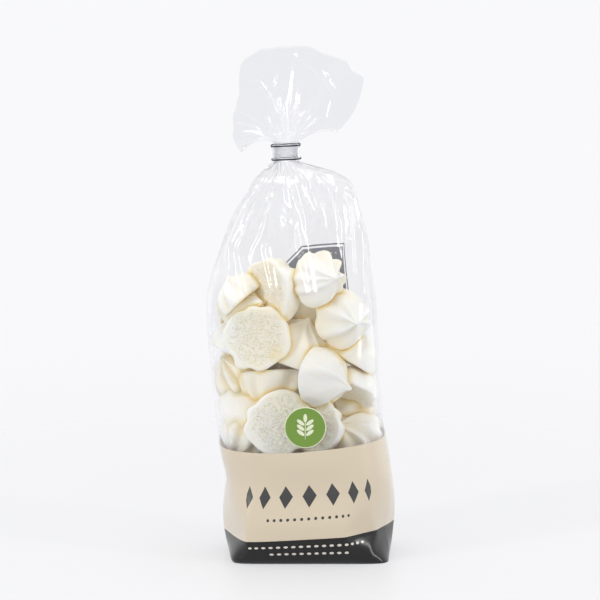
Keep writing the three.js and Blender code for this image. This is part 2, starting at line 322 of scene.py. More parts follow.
def turned_to(direction, spin):
    """A rotation that takes +Z to this direction, after a spin in degrees about +Z."""
    turn = Vector(direction).to_track_quat("Z", "Y").to_matrix()
    first = np.eye(3)
    angle = math.radians(spin)
    first[:2, :2] = [[math.cos(angle), -math.sin(angle)], [math.sin(angle), math.cos(angle)]]
    return np.array(turn) @ first


def small_turn(vector, most=0.1):
    """A rotation by this vector's length about it, at most so many radians."""
    size = np.linalg.norm(vector) + 1e-9
    x, y, z = vector * min(1, most / size)
    return np.eye(3) + np.array([[0, -z, y], [z, 0, -x], [-y, x, 0]])


def straightened(turn):
    """The true rotation nearest to this matrix."""
    left, _, right = np.linalg.svd(turn)
    return left @ right


class Field:
    """Signed distance on a grid of points, positive outside, with its direction of growth."""

    def __init__(self, low, step, distance):
        self.low = np.asarray(low, float)
        self.step = step
        self.top = np.array(distance.shape) - 1.001
        self.values = np.stack([distance, *np.gradient(distance, step)], axis=-1)

    def at(self, points):
        """Distance and direction at these points, between the grid's points."""
        place = np.clip((points - self.low) / self.step, 0, self.top)
        cell = place.astype(int)
        share = place - cell
        total = 0
        for corner in np.ndindex(2, 2, 2):
            weight = np.prod(np.where(corner, share, 1 - share), axis=-1)
            x, y, z = np.moveaxis(cell + corner, -1, 0)
            total = total + weight[..., None] * self.values[x, y, z]
        return total[..., 0], total[..., 1:]


def grid_points(low, high, step):
    """A grid of points from one corner of a box to the other."""
    axes = [np.arange(a, b + step, step) for a, b in zip(low, high)]
    return np.stack(np.meshgrid(*axes, indexing="ij"), axis=-1)


# --- The bag's sections, from the CAD solid ---


def bag_sections():
    """The heights of the CAD bag's rings, and each one's middle, half width and half depth."""
    points = np.array([v.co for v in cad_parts["bag"].data.vertices]) / MM
    heights = np.unique(points[:, 2].round(2))
    heights = heights[heights < NECK["bottom"] - 0.5]
    rings = [points[abs(points[:, 2] - height) < 0.1] for height in heights]
    low, high = (np.array([pick(ring, axis=0) for ring in rings]) for pick in (np.min, np.max))
    sizes = [(low + high)[:, 0] / 2, (high - low)[:, 0] / 2, (high - low)[:, 1] / 2]
    for _ in range(2):
        sizes = [np.concatenate([s[:1], (s[:-2] + 2 * s[1:-1] + s[2:]) / 4, s[-1:]]) for s in sizes]
    return heights, sizes


SECTION_HEIGHTS, SECTION_SIZES = bag_sections()


def section_at(height):
    """The bag's middle, half width, half depth and squareness at a height."""
    sizes = [np.interp(height, SECTION_HEIGHTS, size) for size in SECTION_SIZES]
    return *sizes, np.interp(height, *SQUARE_AT)


def wall_distance(points):
    """How far points lie outside the bag's wall, and the way out. Inside it is negative."""
    middle, half_width, half_depth, square = section_at(points[..., 2])
    x = (points[..., 0] - middle) / half_width
    y = points[..., 1] / half_depth
    reach = (abs(x) ** square + abs(y) ** square) ** (1 / square) + 1e-9
    slope = np.stack(
        [np.sign(x) * abs(x / reach) ** (square - 1) / half_width,
         np.sign(y) * abs(y / reach) ** (square - 1) / half_depth, 0 * x], axis=-1)
    steepness = np.linalg.norm(slope, axis=-1) + 1e-9
    outside, way_out = (reach - 1) / steepness, slope / steepness[..., None]
    for (out_x, out_y), limit, share in CUTS:
        kept = CUT_FADE * (1 - np.interp(points[..., 2], *share))
        past = points[..., 0] * out_x + points[..., 1] * out_y - limit - kept
        way_out = np.where((past > outside)[..., None], [out_x, out_y, 0], way_out)
        outside = np.maximum(outside, past)
    return outside, way_out


# --- One cookie ---


def cookie_shell(seed):
    """The rings of one kind's lobed upper side, from the underside's rim to the tip."""
    rng = np.random.default_rng(seed)
    turn = np.arange(COOKIE_AROUND) / COOKIE_AROUND
    angle = 2 * np.pi * turn
    phases = rng.uniform(0, 2 * np.pi, 4)
    radius = COOKIE_RADIUS * rng.uniform(0.95, 1.04)
    height = COOKIE_HEIGHT * rng.uniform(0.92, 1.08)
    uneven = 1 + 0.05 * np.sin(angle + phases[0]) + 0.04 * np.sin(2 * angle + phases[1])

    profile = smooth_curve(SHELL_PROFILE, SHELL_RINGS)
    share = np.clip(profile[:, 1:], 0, 1)
    twist = rng.uniform(0.04, 0.1) * rng.choice([-1, 1])
    lobes = int(rng.integers(6, 9))
    wander = 0.25 * np.sin(2 * angle + phases[2]) + 0.15 * np.sin(3 * angle + phases[3])
    phase = lobes * (turn + twist * share**1.5) + wander
    groove = ((1 - np.cos(2 * np.pi * phase)) / 2) ** np.interp(share, *RIDGE_POWER)
    depth = np.interp(share, *GROOVE_DEPTH) * (1 + 0.35 * np.sin(angle + phases[1]))
    reach = radius * profile[:, :1] * (1 - depth * groove) * uneven

    lean = smoothstep(share, 0.55, 1.0) ** 2 * rng.uniform(1.5, 4.5)
    lean_angle = rng.uniform(0, 2 * np.pi)
    shell = np.stack([
        reach * np.cos(angle) + lean * math.cos(lean_angle),
        reach * np.sin(angle) + lean * math.sin(lean_angle),
        np.broadcast_to(height * share, reach.shape) - 0.25 * lean,
    ], axis=-1)
    for index in np.ndindex(reach.shape):
        lump = noise.fractal(Vector(shell[index] / LUMP_SIZE) + Vector((seed, 0, 0)), 1.0, 2.0, 3)
        shell[index][:2] *= 1 + LUMP_DEPTH * lump
    return shell


def cookie_base(rim, seed):
    """The rings of one kind's hollow, porous underside, from its middle out to the rim."""
    inward = np.linspace(1, 0.02, BASE_RINGS + 1)[1:, None, None]
    base = rim * inward
    for index in np.ndindex(base.shape[:2]):
        close = inward[index[0], 0, 0]
        rough = noise.fractal(Vector((*base[index][:2] / PORE_SIZE, seed)), 1.0, 2.0, 3)
        hollow = HOLLOW_DEPTH * (1 - close**2)
        base[index][2] = hollow + PORE_DEPTH * rough * smoothstep(close, 1.0, 0.85)
    return base[::-1]


def cookie_kind(seed):
    """One kind of cookie, tip up on z = 0: its points, faces, and the share of pores at each."""
    shell = cookie_shell(seed)
    rings = np.concatenate([cookie_base(shell[0], seed), shell])
    ends = [rings[0].mean(axis=0), rings[-1].mean(axis=0) + 0.15 * UP]
    points = np.vstack([rings.reshape(-1, 3), *ends])
    around = np.arange(COOKIE_AROUND)
    after = (around + 1) % COOKIE_AROUND
    last = (len(rings) - 1) * COOKIE_AROUND
    foot = np.stack([after, around, np.full_like(around, len(points) - 2)], axis=-1)
    tip = np.stack([last + around, last + after, np.full_like(around, len(points) - 1)], axis=-1)
    ring = np.arange(len(points)) // COOKIE_AROUND
    spread = points[3 :: len(points) // SAMPLES]
    return {
        "points": points,
        "quads": grid_quads(len(rings), COOKIE_AROUND),
        "triangles": np.vstack([foot, tip]),
        "base_quads": BASE_RINGS * COOKIE_AROUND,
        "porous": np.interp(ring, [BASE_RINGS - 5, BASE_RINGS - 1], [1, 0]),
        "samples": np.vstack([points[-1:], spread[: SAMPLES - 1]]),
    }


def cookie_field(kind, step=1.6, margin=8.0):
    """The signed distance to one kind of cookie. A point is inside where its nearest face and a
    ray both say so, as either alone can be wrong near sharp edges."""
    faces = kind["quads"].tolist() + kind["triangles"].tolist()
    tree = BVHTree.FromPolygons(kind["points"].tolist(), faces)
    low = kind["points"].min(axis=0) - margin
    grid = grid_points(low, kind["points"].max(axis=0) + margin, step)
    aside = Vector((0.8, 0.5, 0.33))
    distance = np.empty(grid.shape[:3])
    for index in np.ndindex(distance.shape):
        point = Vector(grid[index])
        near, normal, _, gap = tree.find_nearest(point)
        beyond = tree.ray_cast(point, aside)[1]
        inside = (point - near).dot(normal) < 0 and beyond is not None and beyond.dot(aside) > 0
        distance[index] = -gap if inside else gap
    return Field(low, step, distance)


# --- The heap of cookies ---


def starting_cookies(seed=4):
    """The cookies' first places and turns, and their sizes: the front ones first."""
    rng = np.random.default_rng(seed)
    cookies = []
    for (x, height), tip, spin, size, _ in FRONT_COOKIES:
        place = np.array([x, 0.0, height]) - 0.4 * COOKIE_HEIGHT * np.array(tip)
        cookies.append([place, turned_to(tip, spin), size])
    for i in range(COOKIE_COUNT - len(cookies)):
        low_front = i < 6
        height = 16 + 30 * (i // 3) if low_front else 16 + 21 * ((i - 6) // 3)
        centre, half_width, half_depth, _ = section_at(height)
        across = ((i % 3) - 1) * 0.6 * half_width + rng.uniform(-3, 3)
        back = -0.4 * half_depth if low_front else 0.45 * half_depth
        turn = turned_to(rng.normal(size=3), rng.uniform(0, 360))
        place = np.array([centre + across, back, height])
        cookies.append([place, turn, rng.uniform(0.92, 1.04)])
    return [np.array(column) for column in zip(*cookies)]


class Heap:
    """The cookies in the bag, with each one's kind, place, turn, size and ease of moving."""

    def __init__(self):
        self.kinds = [cookie_kind(20 + k) for k in range(KINDS)]
        self.fields = [cookie_field(kind) for kind in self.kinds]
        self.places, self.turns, self.sizes = starting_cookies()
        number = np.arange(COOKIE_COUNT)
        self.which = number % KINDS
        self.loose = number >= len(FRONT_COOKIES)
        self.ease = np.where(self.loose[:, None], LOOSE_EASE, FRONT_EASE)

    def points_of(self, i, every=1):
        """Every so many points of one cookie, where it lies."""
        points = self.kinds[self.which[i]]["points"][::every]
        return points * self.sizes[i] @ self.turns[i].T + self.places[i]

    def distance_to(self, i, points):
        """The signed distance from points to one cookie."""
        local = (points - self.places[i]) @ self.turns[i] / self.sizes[i]
        return self.fields[self.which[i]].at(local)[0] * self.sizes[i]

    def to_wall(self):
        """Moves the front cookies in from the sides, and to their depth behind the bag's front."""
        for i, (*_, sink) in enumerate(FRONT_COOKIES):
            points = self.points_of(i, every=7)
            middle, half_width, half_depth, square = section_at(points[:, 2])
            across = points[:, 0] - middle
            past = [np.maximum(way - half_width + SIDE_GAP, 0).max() for way in (-across, across)]
            inward = past[0] - past[1]
            self.places[i, 0] += inward
            side = np.clip(abs((across + inward) / half_width), 0, 0.97)
            front = -half_depth * (1 - side**square) ** (1 / square)
            self.places[i, 1] += (front + FRONT_GAP + sink - points[:, 1]).max()

    def contacts(self, world, middles):
        """Force, torque and number of touching samples that the cookies give each other."""
        force = np.zeros_like(middles)
        torque = np.zeros_like(middles)
        hits = np.zeros(len(middles))
        gaps = np.linalg.norm(middles[:, None] - middles[None], axis=-1)
        first, second = np.nonzero((gaps < TOUCH_REACH) & (gaps > 0))
        for kind, field in enumerate(self.fields):
            a, b = (side[self.which[second] == kind] for side in (first, second))
            local = (world[a] - self.places[b][:, None]) @ self.turns[b]
            distance, growth = field.at(local / self.sizes[b][:, None, None])
            depth = np.maximum(COOKIE_GAP - distance, 0)
            push = depth[..., None] * growth @ self.turns[b].transpose(0, 2, 1)
            for body, sign in ((a, 1), (b, -1)):
                twist = np.cross(world[a] - middles[body][:, None], push)
                np.add.at(force, body, sign * push.sum(axis=1))
                np.add.at(torque, body, sign * twist.sum(axis=1))
                np.add.at(hits, body, (depth > 0).sum(axis=1))
        return force, torque, hits

    def walls(self, world, hardness):
        """The push of the bag's wall, the floor and the top of the heap on each sample."""
        outside, out = wall_distance(world)
        past = outside + np.interp(world[..., 2], *WALL_GAP)
        push = -hardness * np.maximum(past, 0)[..., None] * out
        push[..., 2] += hardness * np.maximum(FLOOR_GAP - world[..., 2], 0)
        push[..., 2] -= self.loose[:, None] * np.maximum(world[..., 2] - HEAP_TOP, 0)
        return push

    def pack(self):
        """Pushes overlapping cookies apart and into the bag, as stiff bodies that sink and turn."""
        samples = np.array([kind["samples"] for kind in self.kinds])[self.which]
        samples = samples * self.sizes[:, None, None]
        for step in range(PACK_STEPS):
            world = samples @ self.turns.transpose(0, 2, 1) + self.places[:, None]
            middles = world.mean(axis=1)
            force, torque, hits = self.contacts(world, middles)
            push = self.walls(world, SOFT_WALL if step < HARD_FROM * PACK_STEPS else HARD_WALL)
            force += push.sum(axis=1)
            torque += np.cross(world - middles[:, None], push).sum(axis=1)
            hits += (abs(push).sum(axis=-1) > 0).sum(axis=1)
            rate = self.ease / (hits + 3)[:, None]
            shift = PUSH_RATE * rate[:, :3] * force
            if step < SINK_UNTIL * PACK_STEPS:
                shift[:, 2] -= SINK * self.loose
            for i, angle in enumerate(rate[:, 3:] * torque / TURN_INERTIA):
                turn = small_turn(angle)
                self.places[i] = middles[i] + shift[i] + turn @ (self.places[i] - middles[i])
                self.turns[i] = straightened(turn @ self.turns[i])

    def keep_inside(self, rounds=9):
        """Moves each cookie that still reaches past the bag's wall back inside it."""
        freedom = np.where(self.loose[:, None], 1, FRONT_FREEDOM)
        for i in range(len(self.places)):
            for _ in range(rounds):
                points = self.points_of(i, every=5)
                outside, out = wall_distance(points)
                outside += np.interp(points[:, 2], *WALL_GAP)
                worst = np.argmax(outside)
                self.places[i] -= max(outside[worst], 0) * out[worst] * freedom[i]

    def painted_nook_shade(self, own, points):
        """How deep points of one cookie lie between cookies or in the heap, from 0 to 1: the weight
        of the golden shade painted into its colour there.
        """
        nearest = np.full(len(points), FAR)
        for i, place in enumerate(self.places):
            if i != own and np.linalg.norm(place - self.places[own]) <= NOOK_SHADE_REACH:
                nearest = np.minimum(nearest, self.distance_to(i, points))
        # Painted shade: close to other cookies and deep inside the heap, the cookie gets a golden
        # shade weight.
        deep_shade = smoothstep(-wall_distance(points)[0], *BURIED_SHADE)
        between = smoothstep(nearest, NOOK_SHADE_WIDTH, 0) ** 1.3 * (0.4 + 0.6 * deep_shade)
        return np.maximum(between, 0.25 * deep_shade**1.5)

    def field(self, low, high, step=1.5):
        """The signed distance to the whole heap, over a box."""
        grid = grid_points(low, high, step)
        distance = np.full(grid.shape[:3], FAR)
        for i, place in enumerate(self.places):
            start = np.clip(((place - low - FIELD_REACH) / step).astype(int), 0, None)
            end = ((place - low + FIELD_REACH) / step).astype(int)
            part = tuple(slice(a, b) for a, b in zip(start, end))
            distance[part] = np.minimum(distance[part], self.distance_to(i, grid[part]))
        return Field(low, step, distance)


def add_kind(heap, k, materials):
    """All cookies of one kind as one piece."""
    kind = heap.kinds[k]
    members = np.nonzero(heap.which == k)[0]
    clouds = [heap.points_of(i) for i in members]
    starts = len(kind["points"]) * np.arange(len(members))[:, None, None]
    quads = (kind["quads"] + starts).reshape(-1, 4)
    triangles = (kind["triangles"] + starts).reshape(-1, 3)
    faces = quads.tolist() + triangles.tolist()
    piece = new_object(f"cookies_{k + 1}", np.vstack(clouds), faces, materials)
    under = np.arange(len(kind["quads"])) < kind["base_quads"]
    slots = np.zeros(len(faces), int)
    slots[: len(quads)] = np.tile(under, len(members))
    piece.data.polygons.foreach_set("material_index", slots)
    # The painted nook shade of each point goes out as an attribute, beside the share of pores.
    nook_shade = [heap.painted_nook_shade(i, points) for i, points in zip(members, clouds)]
    for name, values in (("nook_shade", nook_shade), ("porous", [kind["porous"]] * len(members))):
        layer = piece.data.attributes.new(name, "FLOAT", "POINT")
        layer.data.foreach_set("value", np.concatenate(values))
    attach(piece, "root")
    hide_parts("bag")


def add_cookies(materials):
    """The heap of cookies, one piece for each kind, and the heap's distance field."""
    heap = Heap()
    heap.to_wall()
    heap.pack()
    heap.keep_inside()
    for k in range(KINDS):
        add_kind(heap, k, materials)
    low, high = (np.array(corner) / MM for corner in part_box("bag"))
    return heap.field(low - FIELD_MARGIN, [*(high[:2] + FIELD_MARGIN), FIELD_TOP])


# --- Film ---


def body_rows():
    """Heights of the film's rows up to the neck, evenly spaced along the film."""
    fine = np.linspace(0, SECTION_HEIGHTS[-1], 800)
    _, half_width, half_depth, _ = section_at(fine)
    path = np.hypot(np.diff(fine), np.diff((half_width + half_depth) / 2))
    along = np.concatenate([[0], np.cumsum(path)])
    marks = [0, np.interp(BLACK_TOP, fine, along), np.interp(CREAM_TOP, fine, along), along[-1]]
    rows = [np.linspace(a, b, round((b - a) / FILM_STEP) + 1)[:-1] for a, b in zip(marks, marks[1:])]
    return np.interp(np.concatenate([*rows, marks[-1:]]), along, fine)


def body_guide(turn, height):
    """The film round the filled bag, a grid of points for these heights."""
    height = height[:, None]
    panels = [0, PANEL_WIDTH / 2, SIDE_WIDTH, PANEL_WIDTH, SIDE_WIDTH, PANEL_WIDTH / 2]
    marks = np.cumsum(panels) / GIRTH
    x = np.interp(turn, marks, [0, 1, 1, -1, -1, 0])
    y = np.interp(turn, marks, [-1, -1, 1, 1, -1, -1])
    _, half_width, _, square = section_at(height)
    scale = (abs(x) ** square + abs(y) ** square) ** (-1 / square)
    across = x * scale * half_width
    level_out = 1 + np.interp(height, *LEVELS_OUT) * np.maximum(-across, 0)
    level = height + np.interp(height, *LEAN) * across / level_out
    middle, half_width, half_depth, _ = section_at(level)
    x = x * scale * half_width
    y = y * scale * half_depth
    size = np.hypot(x, y)
    sway = 0.012 * np.sin(height / 17) + 0.006 * np.sin(height / 7 + 1)
    for count, seed, depth in BODY_FOLDS:
        inward = np.interp(level, *depth) * (1 - folds((turn + sway) % 1, count, seed))
        inward = np.minimum(inward, 0.35 * size)
        x, y = (c * (1 - inward / size) for c in (x, y))
    x = middle + x
    for (out_x, out_y), reach, share in CUTS:
        cut = np.interp(level, *share) * np.maximum(out_x * x + out_y * y - reach, 0)
        x, y = x - cut * out_x, y - cut * out_y
    return np.stack([x, y, level], axis=-1)


def neck_guide(turn, height):
    """The film's pleats in the clip."""
    count, seed, depth = NECK_FOLD
    angle = 2 * np.pi * turn - np.pi / 2
    scale = 1 - depth * (1 - folds(turn, count, seed)) * np.ones_like(height)[:, None]
    return np.stack([
        NECK["x"] + NECK["half_width"] * np.cos(angle) * scale,
        NECK["half_depth"] * np.sin(angle) * scale,
        np.broadcast_to(height[:, None], scale.shape),
    ], axis=-1)


def fan_guide(turn, out):
    """The film above the clip. out runs from 0 at the neck to 1 at the cut edge."""
    out = out[:, None]
    signed = (turn + 0.5) % 1 - 0.5
    front = abs(signed) < 0.25
    across = np.where(front, 4 * signed, np.sign(signed) * (2 - 4 * abs(signed)))
    angle = FAN["left"] + (FAN["right"] - FAN["left"]) * (across + 1) / 2
    wave = 2 * folds((across + 1) / 2, FAN["edge_waves"], FAN["edge_seed"]) - 1
    full_reach = np.interp(angle, *FAN_REACH)
    reach = full_reach * (1 + FAN["edge_wave"] * wave * out) * out
    lean = np.radians(angle) * (FAN["start_turn"] + (1 - FAN["start_turn"]) * out)
    apart = NECK["half_depth"] + (FAN["half_thickness"] - NECK["half_depth"]) * out
    half = apart * np.sqrt(1 - across**2)
    swing = np.sin(np.pi * FAN["ripples"] * across + FAN["ripple_start"])
    ripple = FAN["ripple"] * full_reach / FAN["usual_reach"] * out * swing
    for count, seed, depth in FAN_FOLDS:
        ripple = ripple + np.interp(out, *depth) * (folds(turn, count, seed) - 0.5)
    return np.stack([
        NECK["x"] + NECK["half_width"] * across * (1 - out) + reach * np.sin(lean),
        np.where(front, -half, half) + ripple,
        NECK["top"] + reach * np.cos(lean),
    ], axis=-1)


def softened(points, passes=2):
    """These rows of film points, with their creases a little softer."""
    for _ in range(passes):
        points = (np.roll(points, 1, axis=1) + 2 * points + np.roll(points, -1, axis=1)) / 4
        points[1:-1] = (points[:-2] + 2 * points[1:-1] + points[2:]) / 4
    return points


def add_ridges(points, turn):
    """Raises the single ridges in the front half of these film points."""
    lift = np.zeros(points.shape[:2])
    for start, end, half_width, height in RIDGES:
        start, along = np.array(start), np.subtract(end, start)
        away = points[..., [0, 2]] - start
        share = np.clip(away @ along / (along @ along), 0, 1)
        gap = np.linalg.norm(away - share[..., None] * along, axis=-1)
        lift = np.maximum(lift, height * np.maximum(0, 1 - gap / half_width))
    points[..., 1] -= lift * (abs(turn - 0.5) > 0.25)
    return points


def film_guide():
    """The whole film as it hangs by design, and each row's height along the film."""
    turn = np.arange(COLUMNS) / COLUMNS
    heights = body_rows()
    body = body_guide(turn, heights)
    low = heights < CUTS_END
    body[low] = softened(body[low])
    inward = np.linspace(0.08, 0.96, UNDERSIDE_ROWS)[:, None, None]
    foot = body[0] * [1, 1, 0] * inward + 0.15 * UP
    neck = neck_guide(turn, np.arange(NECK["bottom"], NECK["top"], FILM_STEP))
    fan = fan_guide(turn, np.linspace(0, 1, FAN["rows"]))
    guide = add_ridges(np.concatenate([foot, body, neck, fan]), turn)
    above = np.full(len(neck) + len(fan), ABOVE_NECK)
    return guide, np.concatenate([np.zeros(len(foot)), heights, above])


def linked(points, rows, columns):
    """Both ends of every link that spans so many rows and columns."""
    return points[: len(points) - rows], np.roll(points[rows:], -columns, axis=1)


def settle_film(guide, held, slack, field):
    """Lets the film pull tight round the cookies and buckle where it has length to spare."""
    families = []
    for rows, columns, stiffness in FILM_LINKS:
        a, b = linked(guide, rows, columns)
        families.append((rows, columns, stiffness, np.linalg.norm(b - a, axis=-1)))
    nudge = np.random.default_rng(6).normal(0, FILM_NUDGE, guide.shape)
    for _ in range(NUDGE_PASSES):
        nudge = (nudge + np.roll(nudge, 1, axis=0) + np.roll(nudge, 1, axis=1)) / 3
    points = guide + nudge
    before = points
    for _ in range(FILM_STEPS):
        moved = points + KEPT_SPEED * (points - before)
        before = points
        moved += GUIDE_PULL * (guide - moved)
        for rows, columns, stiffness, rest in families:
            a, b = linked(moved, rows, columns)
            span = b - a
            length = np.linalg.norm(span, axis=-1) + 1e-9
            spare = slack[: len(length)]
            shift = (0.5 * stiffness * (length - rest * spare) / length)[..., None] * span
            moved[: len(length)] += shift
            moved[rows:] -= np.roll(shift, columns, axis=1)
        distance, growth = field.at(moved)
        moved += np.maximum(FILM_GAP - distance, 0)[..., None] * growth
        drift = moved - guide
        far = np.linalg.norm(drift, axis=-1, keepdims=True) + 1e-9
        moved = guide + drift * np.minimum(1, MOST_DRIFT / far)
        points = np.where(held, guide, moved)
    return points


def film_slots(turn, low, high):
    """Each film face's material from its turn and heights: clear, black, cream or label."""
    across = (turn - 0.5) * GIRTH - LABEL["across"]
    at_label = abs(across) < LABEL["half_width"] + LABEL_MARGIN
    at_label &= low > LABEL["bottom"] - LABEL_MARGIN
    at_label &= high < LABEL["top"] + LABEL_MARGIN
    middle = (low + high) / 2
    return np.select([middle < BLACK_TOP, middle < CREAM_TOP, at_label], [1, 2, 3], 0)


def add_print_maps(film, turn, low, high):
    """Two maps in metres along the film, with 0 in the middle of its front or of its back."""
    for name, start in (("front", 0.5), ("back", 0.0)):
        left = ((turn + start) % 1 - 0.5) * GIRTH * MM
        right = left + GIRTH * MM / COLUMNS
        corners = [left, low * MM, right, low * MM, right, high * MM, left, high * MM]
        layer = film.data.uv_layers.new(name=name)
        layer.data.foreach_set("uv", np.stack(corners, axis=-1).ravel())


def add_film(materials, field):
    """The whole film as one sheet round the heap with this distance field. Returns its points."""
    guide, height = film_guide()
    held = (guide[..., 2] > HELD_NECK[0]) & (guide[..., 2] < HELD_NECK[1])
    held |= (height <= HELD_FOOT)[:, None]
    slack = np.interp(height, *SLACK)[:, None]
    points = settle_film(guide, held[..., None], slack, field)
    quads = grid_quads(len(guide), COLUMNS)
    film = new_object("film", points.reshape(-1, 3), quads.tolist(), materials)
    row = quads[:, 0] // COLUMNS
    turn = quads[:, 0] % COLUMNS / COLUMNS
    low, high = height[row], height[row + 1]
    film.data.polygons.foreach_set("material_index", film_slots(turn, low, high))
    add_print_maps(film, turn, low, high)
    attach(film, "root")
    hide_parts("bag")
    return points


def add_sticker(paper, film_points):
    """A round paper sticker that follows the film under it."""
    faces = grid_quads(len(film_points), COLUMNS).tolist()
    tree = BVHTree.FromPolygons(film_points.reshape(-1, 3).tolist(), faces)
    turn = np.linspace(0, 2 * np.pi, STICKER_AROUND, endpoint=False)
    reach = np.linspace(0.02, 1, STICKER_RINGS)[:, None] * STICKER["radius"]
    x = STICKER["x"] + reach * np.sin(turn)
    z = STICKER["height"] + reach * np.cos(turn)
    before_bag = -80
    front = np.empty(x.shape)
    for index in np.ndindex(front.shape):
        start = Vector((x[index], before_bag, z[index]))
        front[index] = tree.ray_cast(start, Vector((0, 1, 0)))[0].y
    for _ in range(6):
        soft = (np.roll(front, 1, axis=1) + np.roll(front, -1, axis=1)) / 2
        soft[1:-1] = (2 * soft[1:-1] + front[:-2] + front[2:]) / 4
        front = np.minimum(front, soft)
    face = np.stack([x, front - STICKER["lift"], z], axis=-1)
    rings = np.concatenate([face, face[::-1] + [0, STICKER["thickness"], 0]])
    quads = grid_quads(len(rings), STICKER_AROUND).tolist()
    piece = new_object("sticker_front", rings.reshape(-1, 3), quads, [paper])
    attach(piece, "root")
    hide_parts("sticker")


# --- Materials ---


class Shader:
    """A material or world, and short calls for its nodes."""

    def __init__(self, name, owners=bpy.data.materials, output="OutputMaterial"):
        self.owner = owners.new(name)
        self.owner.use_nodes = True
        self.tree = self.owner.node_tree
        self.tree.nodes.clear()
        self.output = self.tree.nodes.new("ShaderNode" + output)

    def node(self, kind, settings=(), output=0, **inputs):
        """One output of a new node. Each input is a value or another node's output."""
        made = self.tree.nodes.new("ShaderNode" + kind)
        for key, value in dict(settings).items():
            setattr(made, key, value)
        for key, value in inputs.items():
            by_number = key[1:].isdigit()
            socket = made.inputs[int(key[1:]) if by_number else key.replace("_", " ")]
            if isinstance(value, bpy.types.NodeSocket):
                self.tree.links.new(value, socket)
            else:
                socket.default_value = value
        return made.outputs[output]

    def math(self, operation, a, b=0.0):
        """The result of one operation."""
        return self.node("Math", {"operation": operation}, i0=a, i1=b)

    def mix(self, share, a, b):
        """A colour between a and b."""
        return self.node("Mix", {"data_type": "RGBA"}, 2, Factor=share, i6=a, i7=b)

    def blend(self, share, a, b):
        """A surface between a and b."""
        return self.node("MixShader", i0=share, i1=a, i2=b)

    def most(self, values):
        """The largest of these values."""
        return reduce(lambda a, b: self.math("MAXIMUM", a, b), values)

    def place(self):
        """The surface's place in metres."""
        return self.node("TexCoord", output="Object")

    def in_mm(self, vector, *axes):
        """These parts of a vector in metres, in mm."""
        parts = [self.node("SeparateXYZ", output=axis, Vector=vector) for axis in axes]
        return [self.math("MULTIPLY", part, 1 / MM) for part in parts]

    def finish(self, surface):
        """The material or world, with this surface."""
        self.tree.links.new(surface, self.output.inputs["Surface"])
        return self.owner


def material(name, surface, *values):
    """A material with the surface that this function makes from a shader and these values."""
    shader = Shader(name)
    return shader.finish(surface(shader, *values))


def meringue(shader, cream, pits):
    """Dry baked meringue: pale and soft under the skin, with golden shade painted in where cookies
    meet and deep in the heap.
    """
    place = shader.place()
    # Painted shade: the weight of the golden shade painted between cookies and deep in the heap.
    nook_shade = shader.node("Attribute", {"attribute_name": "nook_shade"}, "Fac")
    porous = shader.node("Attribute", {"attribute_name": "porous"}, "Fac")
    cloud = shader.node("TexNoise", Vector=place, Scale=90.0, Detail=3.0)
    cell = shader.node("TexVoronoi", Vector=place, Scale=850.0, Randomness=1.0)
    grain = shader.node("TexNoise", Vector=place, Scale=700.0, Detail=6.0, Roughness=0.65)
    hole = shader.node("MapRange", Value=cell, From_Min=0.16, From_Max=0.42, To_Min=1.0, To_Max=0.0)
    hole = shader.math("MULTIPLY", hole, shader.math("MAXIMUM", porous, 0.1))
    pale = shader.mix(shader.math("MULTIPLY", cloud, 0.2), cream, (0.90, 0.86, 0.72, 1))
    holed = shader.mix(shader.math("MULTIPLY", hole, pits), pale, (0.80, 0.72, 0.46, 1))
    # Painted shade: this golden colour stands in for the shade in crevices between cookies.
    colour = shader.mix(shader.math("MULTIPLY", nook_shade, 0.88), holed, (0.90, 0.71, 0.29, 1))
    height = shader.math("SUBTRACT", grain, shader.math("MULTIPLY", hole, 4 * pits))
    normal = shader.node("Bump", Strength=0.15 + 0.5 * pits, Distance=0.0005, Height=height)
    return shader.node(
        "BsdfPrincipled", Base_Color=colour, Roughness=0.75, Specular_IOR_Level=0.3,
        Normal=normal, Subsurface_Weight=0.5, Subsurface_Scale=0.005,
        Subsurface_Radius=(1.0, 0.8, 0.45),
    )


def crinkles(shader, strength):
    """A normal for creased film: flat facets with sharp folds, and fine ripples."""
    place = shader.place()
    bend = shader.node("TexNoise", Vector=place, Scale=40.0, Detail=2.0, output="Color")
    bent = shader.node(
        "VectorMath", {"operation": "MULTIPLY_ADD"}, i0=bend, i1=(0.02, 0.02, 0.02), i2=place,
    )
    facets = shader.node("TexVoronoi", Vector=bent, Scale=45.0)
    ripples = shader.node("TexNoise", Vector=place, Scale=160.0, Detail=2.0)
    height = shader.math("ADD", facets, shader.math("MULTIPLY", ripples, 0.08))
    return shader.node("Bump", Strength=strength, Distance=0.0025, Height=height)


def film_surface(shader):
    """Thin clear film: it lets light through and mirrors more the flatter it is looked along."""
    normal = crinkles(shader, 0.16)
    facing = shader.node("LayerWeight", output="Facing", Blend=0.5, Normal=normal)
    steep = shader.math("POWER", facing, 3.0)
    share = shader.math("ADD", shader.math("MULTIPLY", steep, 0.8), 0.08)
    through = shader.node("BsdfTransparent", Color=(0.967, 0.969, 0.978, 1))
    mirror = shader.node("BsdfAnisotropic", Color=(1, 1, 1, 1), Roughness=0.12, Normal=normal)
    return shader.blend(share, through, mirror)


def clip_plastic(shader):
    """Milky clear plastic of the clip's strip."""
    milky = shader.node("BsdfPrincipled", Base_Color=(0.95, 0.95, 0.96, 1), Roughness=0.3)
    return shader.blend(0.12, film_surface(shader), milky)


def clip_wire(shader):
    """Dark metal of the clip's wires."""
    dark = (0.06, 0.06, 0.07, 1)
    return shader.node("BsdfPrincipled", Base_Color=dark, Metallic=1.0, Roughness=0.35)


